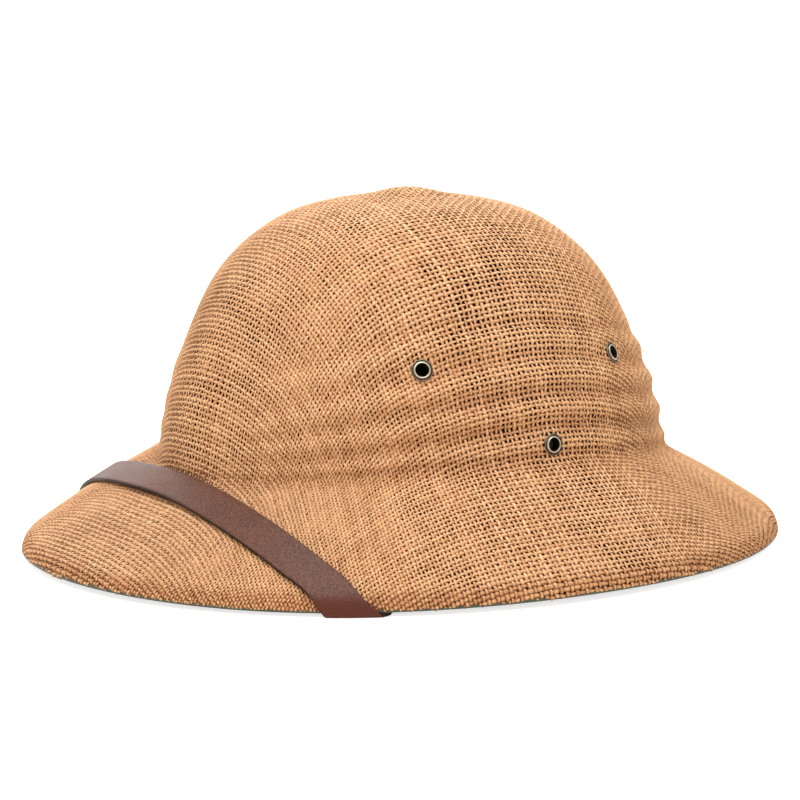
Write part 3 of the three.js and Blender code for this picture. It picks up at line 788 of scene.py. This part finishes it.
straws, straw_sockets = straw_tree(straw_paint)
straw_groups = {
    "straws_fore_and_aft": straw_runs(east_lines, north_lines, 0, cover, random),
    "straws_side_to_side": straw_runs(east_lines.T, north_lines.T, 1, cover.T, random),
}
for group_name, lines in straw_groups.items():
    sizes = np.cumsum([len(line) for line in lines])
    for part in range(parts_each):
        low, high = sizes[-1] * part / parts_each, sizes[-1] * (part + 1) / parts_each
        mine = [line for line, size_so_far in zip(lines, sizes) if low < size_so_far <= high]
        name = f"{group_name}_{part + 1}"
        cloth = place(name, line_mesh(name, mine))
        grown(cloth, straws, {straw_sockets["Breadth"]: straw_breadth, straw_sockets["Thickness"]: straw_thickness})
        face_outwards(cloth.data)
        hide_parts("straw_shell")
        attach(cloth, "root")

# The lining: thin dark green cloth glued under the brim, and its turned edge, which shows as a dark line
# along the bottom of the rim.
shell_gap = 0.0003
lining_thickness = 0.0008
lining_inset = 0.0045
lining_start = 0.1
lining_end = 1 - 2 * lining_inset / (brim_width - crown_width)
lining_edge = 0.004
lining_outs = np.linspace(lining_start, lining_end, 40)
rim_round = 240
rim_angles = np.arange(rim_round) * TURN / rim_round
rim_edge_section = [
    (0.0002, 0.0006), (-0.0001, 0.0003), (-0.0001, 0.0000), (0.0001, -0.00025), (0.0006, -0.0004),
    (0.0014, -0.00045), (0.0021, -0.0004), (0.0027, -0.0001), (0.0029, 0.0005), (0.0024, 0.0010), (0.0012, 0.0009),
]

cloth_paint, cloth_tree, cloth_spot, cloth_shader = new_paint("lining_cloth", {"Roughness": 0.9, "Sheen Weight": 0.2})
cloth_patches = patches(cloth_tree, cloth_spot, 60.0, 5.0)
cloth_threads = [
    add_node(cloth_tree, "ShaderNodeTexWave", {"Vector": cloth_spot, "Scale": 320.0}, bands_direction=way).outputs["Fac"]
    for way in ("X", "Y")
]
fill(cloth_shader, {
    "Base Color": blend(cloth_tree, cloth_patches, linear(48, 54, 42), linear(74, 80, 64)),
    "Normal": bump(cloth_tree, worked(cloth_tree, "MULTIPLY", *cloth_threads), 0.5, 0.0002),
})

lining_top, lining_low = shell_wall + shell_gap, shell_wall + shell_gap + lining_thickness
lining_middle = lining_top + lining_thickness * 0.5
lining_course = [(lining_start - lining_edge, lining_middle), *((out, lining_top) for out in lining_outs)]
lining_course += [(lining_end + lining_edge, lining_middle), *((out, lining_low) for out in lining_outs[::-1])]
lining_rings = [under(brim_point, rim_angles, out, depth) for out, depth in lining_course]
lining = closed_piece("brim_lining_cloth", *skin(lining_rings, closed=True), cloth_paint)
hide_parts("brim_lining")
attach(lining, "root")

edge_rings = [rim_line(rim_angles, inward, level) for inward, level in rim_edge_section]
rim_edge = closed_piece("rim_turned_edge", *skin(edge_rings, closed=True), cloth_paint)
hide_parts("brim_lining")
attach(rim_edge, "root")

# The vent eyelets: six stamped and rolled rings of antiqued brass, three to a side, set through straw and
# form. Each shows a bright rolled lip round its hole, a dark groove and a flat flange.
mm = 0.001
eyelet_steps = 40
eyelet_section = [
    (2.62, -3.5, 1.0), (2.62, 0.2, 1.0), (2.64, 0.62, 1.0), (2.7, 0.86, 0.6), (2.84, 0.99, 0.25), (3.04, 0.97, 0.2),
    (3.22, 0.82, 0.4), (3.34, 0.6, 0.85), (3.5, 0.5, 1.0), (3.7, 0.52, 0.95), (3.92, 0.54, 0.9), (4.08, 0.48, 0.8),
    (4.2, 0.34, 0.7), (4.25, 0.14, 0.9), (4.15, 0.02, 1.0), (2.85, 0.02, 1.0), (2.85, -2.7, 1.0), (4.1, -2.7, 1.0),
    (4.25, -2.85, 0.6), (4.2, -3.2, 0.3), (3.8, -3.45, 0.3), (3.0, -3.5, 0.3),
]

metal_paint, metal_tree, metal_spot, metal_shader = new_paint("aged_metal", {"Specular IOR Level": 0.1})
metal_wear = patches(metal_tree, metal_spot, 900.0, 4.0, 0.35, -0.17)
metal_dark = worked(metal_tree, "ADD", mesh_value(metal_tree, "patina"), metal_wear, use_clamp=True)
fill(metal_shader, {
    "Base Color": blend(metal_tree, metal_dark, linear(226, 216, 192), linear(40, 28, 17)),
    "Roughness": worked(metal_tree, "MULTIPLY_ADD", metal_dark, 0.3, 0.28),
    "Metallic": worked(metal_tree, "MULTIPLY_ADD", metal_dark, -0.5, 1.0),
})

upright = np.array((0, 0, 1.0)) + 1e-9
eyelet_rings = about(upright, np.zeros(3), [(r / 1000, h / 1000) for r, h, dark in eyelet_section], eyelet_steps)
eyelet_pattern = closed_piece("eyelet_pattern", *skin(eyelet_rings, closed=True), metal_paint)
point_values(eyelet_pattern.data, "patina", np.repeat([dark for r, h, dark in eyelet_section], eyelet_steps))


def seated_tree(material):
    """A tree that sets a copy of a pattern on every seat, turned to the seat's facing."""
    tree, given, sockets = new_group("pieces_on_seats", "GeometryNodeTree", {
        "Geometry": "NodeSocketGeometry", "Pattern": "NodeSocketObject",
    }, "Geometry", "NodeSocketGeometry")
    facing = point_value(tree, "facing", "FLOAT_VECTOR")
    turned = add_node(tree, "FunctionNodeAlignRotationToVector", {"Vector": facing}, axis="Z")
    shape = add_node(tree, "GeometryNodeObjectInfo", {"Object": given["Pattern"]})
    copies = add_node(tree, "GeometryNodeInstanceOnPoints", {
        "Points": given["Geometry"], "Instance": shape.outputs["Geometry"], "Rotation": turned.outputs[0],
    })
    finish_tree(tree, copies.outputs[0], material)
    return tree, sockets


seats = bpy.data.meshes.new("vent_eyelets")
seats.from_pydata([tuple(map(float, seat)) for seat, axis in vents], [], [])
point_values(seats, "facing", [axis for seat, axis in vents], "FLOAT_VECTOR")
metal_on_seats, seat_sockets = seated_tree(metal_paint)
eyelets = place("vent_eyelets", seats)
grown(eyelets, metal_on_seats, {seat_sockets["Pattern"]: eyelet_pattern})
bpy.data.objects.remove(eyelet_pattern)
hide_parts(*[f"eyelet_{side}_{spot}" for side in ("left", "right") for spot in ("front", "rear", "low")])
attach(eyelets, "root")

# The chin strap: one flat strip of brown leather with raw cut edges. It lies across the front of the brim,
# turns down over the rim at both front corners and runs back under the brim to a rivet on each side.
strap_width = 0.0146
strap_thickness = 0.0016
strap_from_crown = 0.0005
strap_ride = 0.0009
strap_turn_share = 0.88
pin_angle = math.radians(78)
pin_out_from_foot = 0.007
strap_offset = shell_gap + strap_thickness / 2
strap_under_depth = shell_wall + shell_gap + lining_thickness + shell_gap + strap_thickness / 2
rim_lean_step = 17
rim_tail_step = 0.0014
strap_across = np.array([-1, -0.988, -0.965, -0.8, -0.55, -0.28, 0, 0.28, 0.55, 0.8, 0.965, 0.988, 1])
strap_edge_half = np.array([0.55, 0.86, 1, 1, 1, 1, 1, 1, 1, 1, 1, 0.86, 0.55])


def brim_place(x, y):
    """The angle and the share of the way out of a plan place on the brim."""
    low, high = 0.0, 1.0
    for step in range(40):
        out = (low + high) / 2
        east = x / ((crown_width + (brim_width - crown_width) * out) / 2)
        north = (y - crown_set_back * (1 - out)) / ((crown_length + (brim_length - crown_length) * out) / 2)
        low, high = (out, high) if east * east + north * north > 1 else (low, out)
    return math.atan2(east, -north), out


def along_brim(angle, out):
    return unit(brim_point(angle + small_step, out) - brim_point(angle - small_step, out))


def brim_spot(lift):
    """The strap's middle over the brim, and its facing there."""
    def at(angle, out):
        normal = normal_of(brim_point, angle, out)
        return brim_point(angle, out) + normal * lift, normal
    return at


def rim_spot(lean, inward):
    """The strap's middle on its way round the rim's edge, and its facing there."""
    def at(angle, out=1.0):
        along = along_brim(angle, 1.0)
        outward = np.array([along[1], -along[0], 0])
        normal = outward * math.cos(lean) + np.array([0, 0, math.sin(lean)])
        return brim_point(angle, 1.0) - outward * inward + normal * strap_offset, normal
    return at


def free_stop(centre, normal, along, turn, narrow=1.0):
    """A stop of the strap where the helmet doesn't shape it."""
    return dict(spot_at=None, centre=centre, normal=normal, along=along, turn=turn, narrow=narrow, bend=0.0)


def seated_stop(spot_at, angle, out, turn, bend=0.0):
    """A stop of the strap on the brim or the rim's edge."""
    stop = free_stop(*spot_at(angle, out), along_brim(angle, out), turn)
    return stop | dict(spot_at=spot_at, angle=angle, out=out, bend=bend)


pin_out = 2 * pin_out_from_foot / (brim_width - crown_width)
pin_axis = normal_of(brim_point, pin_angle, pin_out)
pinned = under(brim_point, pin_angle, pin_out, strap_under_depth)
front_tilt = normal_of(brim_point, 0.0, 0.1)[2]
reach = -brim_point(0.0, 0.0)[1] + strap_from_crown + strap_width / 2 * front_tilt


def strap_course(turn_angle, bow_power):
    """The strap's stops, on the wearer's left, from the middle of the front to its end past the rivet."""
    turning = brim_point(turn_angle, strap_turn_share)
    bow = reach + turning[1]
    stops = []
    for stride in [*np.linspace(0, 0.96, 33), 0.99]:
        angle, out = brim_place(stride * turning[0], stride ** bow_power * bow - reach)
        lift = strap_offset + strap_ride * (1 - smoothstep(stride, 0, 0.5))
        stops.append(seated_stop(brim_spot(lift), angle, out, smoothstep(stride, 0.5, 1)))
    along = along_brim(turn_angle, strap_turn_share)
    outwards = np.cross(along, normal_of(brim_point, turn_angle, strap_turn_share))
    course = stops[-1]["centre"] - stops[-2]["centre"]
    slide = dot(course, along) / dot(course, outwards)
    rim_stretch = brim_point(turn_angle + small_step, 1.0) - brim_point(turn_angle - small_step, 1.0)
    slide_angle = slide / (np.linalg.norm(rim_stretch) / (2 * small_step))
    travelled, share = 0.0, strap_turn_share
    for next_share in [0.9, 0.915, 0.93, 0.945, 0.96, 0.975, 0.987, 1]:
        travelled += np.linalg.norm(brim_point(turn_angle, next_share) - brim_point(turn_angle, share))
        share = next_share
        angle = turn_angle + travelled * slide_angle
        stops.append(seated_stop(brim_spot(strap_offset), angle, share, 1.0, smoothstep(share, 0.93, 1.0)))
    for lean in np.radians(12 - rim_lean_step * np.arange(7)):
        travelled += strap_offset * math.radians(rim_lean_step)
        stops.append(seated_stop(rim_spot(lean, 0.0), turn_angle + travelled * slide_angle, 1.0, 1.0, 1.0))
    for inward in (rim_tail_step, 2 * rim_tail_step):
        travelled += rim_tail_step
        spot = rim_spot(-math.pi / 2, inward)
        stops.append(seated_stop(spot, turn_angle + travelled * slide_angle, 1.0, 1.0, 0.6))
    leaving, leaving_facing, along = stops[-1]["centre"], stops[-1]["normal"], stops[-1]["along"]

    arriving = pinned - leaving
    arriving = unit(arriving - pin_axis * dot(arriving, pin_axis))
    short = pinned - arriving * strap_width
    landing = under(brim_point, *brim_place(short[0], short[1]), strap_under_depth + shell_gap)
    for part in np.linspace(0.06, 0.94, 12):
        normal = unit(leaving_facing + (-pin_axis - leaving_facing) * smoothstep(part, 0, 1))
        stops.append(free_stop(leaving + (landing - leaving) * part, normal, along, 1 - smoothstep(part, 0, 0.55)))
    for part in (0, 0.35, 0.7, 1):
        stops.append(free_stop(landing + (pinned - landing) * part, -pin_axis, along, 0.0))
    for bend in np.radians([15, 30, 45, 60, 72, 82]):
        centre = pinned + arriving * strap_width / 2 * math.sin(bend)
        stops.append(free_stop(centre, -pin_axis, along, 0.0, math.cos(bend)))
    return stops


def beside(stop, cross):
    """The strap's spot one cross line away from a stop, on the helmet's own surface where it is seated."""
    if stop["spot_at"] is None:
        return stop["centre"] + cross, stop["normal"]
    round_way = (stop["spot_at"](stop["angle"] + small_step, stop["out"])[0] - stop["centre"]) / small_step
    inner = max(stop["out"] - small_step, 0)
    out_way = (stop["centre"] - stop["spot_at"](stop["angle"], inner)[0]) / small_step
    if not out_way.any():
        return stop["spot_at"](stop["angle"] + dot(cross, round_way) / dot(round_way, round_way), stop["out"])
    rr, ro, oo = dot(round_way, round_way), dot(round_way, out_way), dot(out_way, out_way)
    cr, co = dot(cross, round_way), dot(cross, out_way)
    angle = stop["angle"] + (cr * oo - co * ro) / (rr * oo - ro * ro)
    out = stop["out"] + (co * rr - cr * ro) / (rr * oo - ro * ro)
    return stop["spot_at"](angle, min(max(out, 0), 1))


def strap_sections(stops):
    """The strap's cross sections at its stops: the top from edge to edge, and the underside back again."""
    sections = []
    for i, stop in enumerate(stops):
        ahead = stops[min(i + 1, len(stops) - 1)]["centre"] - stops[max(i - 1, 0)]["centre"]
        way = np.array([1.0, 0, 0]) if i == 0 else unit(ahead)
        cross = unit(np.cross(stop["normal"], way))
        cross = cross + (stop["along"] - cross) * stop["turn"]
        cross = unit(cross - stop["normal"] * dot(cross, stop["normal"]))
        cross = cross * strap_width / 2 * stop["narrow"] / np.linalg.norm(np.cross(cross, way))
        spots, normals = map(np.array, zip(*[beside(stop, cross * -share) for share in strap_across]))
        halves = normals * strap_thickness / 2 * strap_edge_half[:, None]
        sections.append(np.concatenate([spots + halves, (spots - halves)[::-1]]))
    return np.array(sections)


left_course = strap_course(math.radians(48.3), 3)
right_course = strap_course(math.radians(54), 2)
strap_rings = np.concatenate([strap_sections(right_course)[:0:-1] * (-1, 1, 1), strap_sections(left_course)])

leather_paint, leather_tree, leather_spot, leather_shader = new_paint("strap_leather", {"Specular IOR Level": 0.26})
leather_mottle = patches(leather_tree, leather_spot, 1300.0, 3.0)
leather_mottle = patches(leather_tree, leather_spot, 55.0, 5.0, 0.25, leather_mottle)
leather_mottle = worked(leather_tree, "MULTIPLY_ADD", leather_mottle, 2.2, -0.92, use_clamp=True)
leather_tint = blend(leather_tree, leather_mottle, linear(50, 24, 15), linear(110, 66, 47))
# Painted shade: the strap is darker and redder where it turns down over the rim.
leather_tint = blend(leather_tree, mesh_value(leather_tree, "bend"), leather_tint, linear(78, 32, 18))
leather_grain = add_node(leather_tree, "ShaderNodeTexVoronoi", {"Vector": leather_spot, "Scale": 1700.0})
leather_relief = patches(leather_tree, leather_spot, 3200.0, 3.0, 1.0, leather_grain.outputs["Distance"])
fill(leather_shader, {
    "Base Color": blend(leather_tree, mesh_value(leather_tree, "edge"), leather_tint, linear(26, 18, 15)),
    "Roughness": patches(leather_tree, leather_spot, 55.0, 5.0, 0.2, 0.42),
    "Normal": bump(leather_tree, leather_relief, 0.6, 0.00015),
})

strap = closed_piece("leather_chin_strap", *skin(strap_rings), leather_paint)
cut_edge = np.tile(strap_edge_half < 0.9, 2)
bends = [stop["bend"] for stop in [*right_course[:0:-1], *left_course]]
point_values(strap.data, "edge", [*np.tile(cut_edge, len(strap_rings)), 1, 1])
point_values(strap.data, "bend", [*np.repeat(bends, len(cut_edge)), 0, 0])
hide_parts("chin_strap")
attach(strap, "root")

# The strap's rivets: a plain domed rivet of the same aged metal through each end of the strap and into the
# form, out of sight under the brim.
rivet_patina = 0.5
rivet_section = [
    (0.2, -2.5), (1.4, -2.42), (2.6, -2.2), (3.6, -1.8), (4.1, -1.35), (4.1, -1.15), (1.8, -1.1), (1.8, 2.2), (0.2, 2.3),
]
for side, sign in (("left", 1), ("right", -1)):
    mirror = np.array([sign, 1, 1])
    rings = about(pin_axis * mirror, pinned * mirror, [(r / 1000, h / 1000) for r, h in rivet_section], 32)
    rivet = closed_piece(f"strap_rivet_{side}", *skin(rings), metal_paint)
    point_values(rivet.data, "patina", np.full(len(rivet.data.vertices), rivet_patina))
    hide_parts(f"strap_pin_{side}")
    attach(rivet, "root")
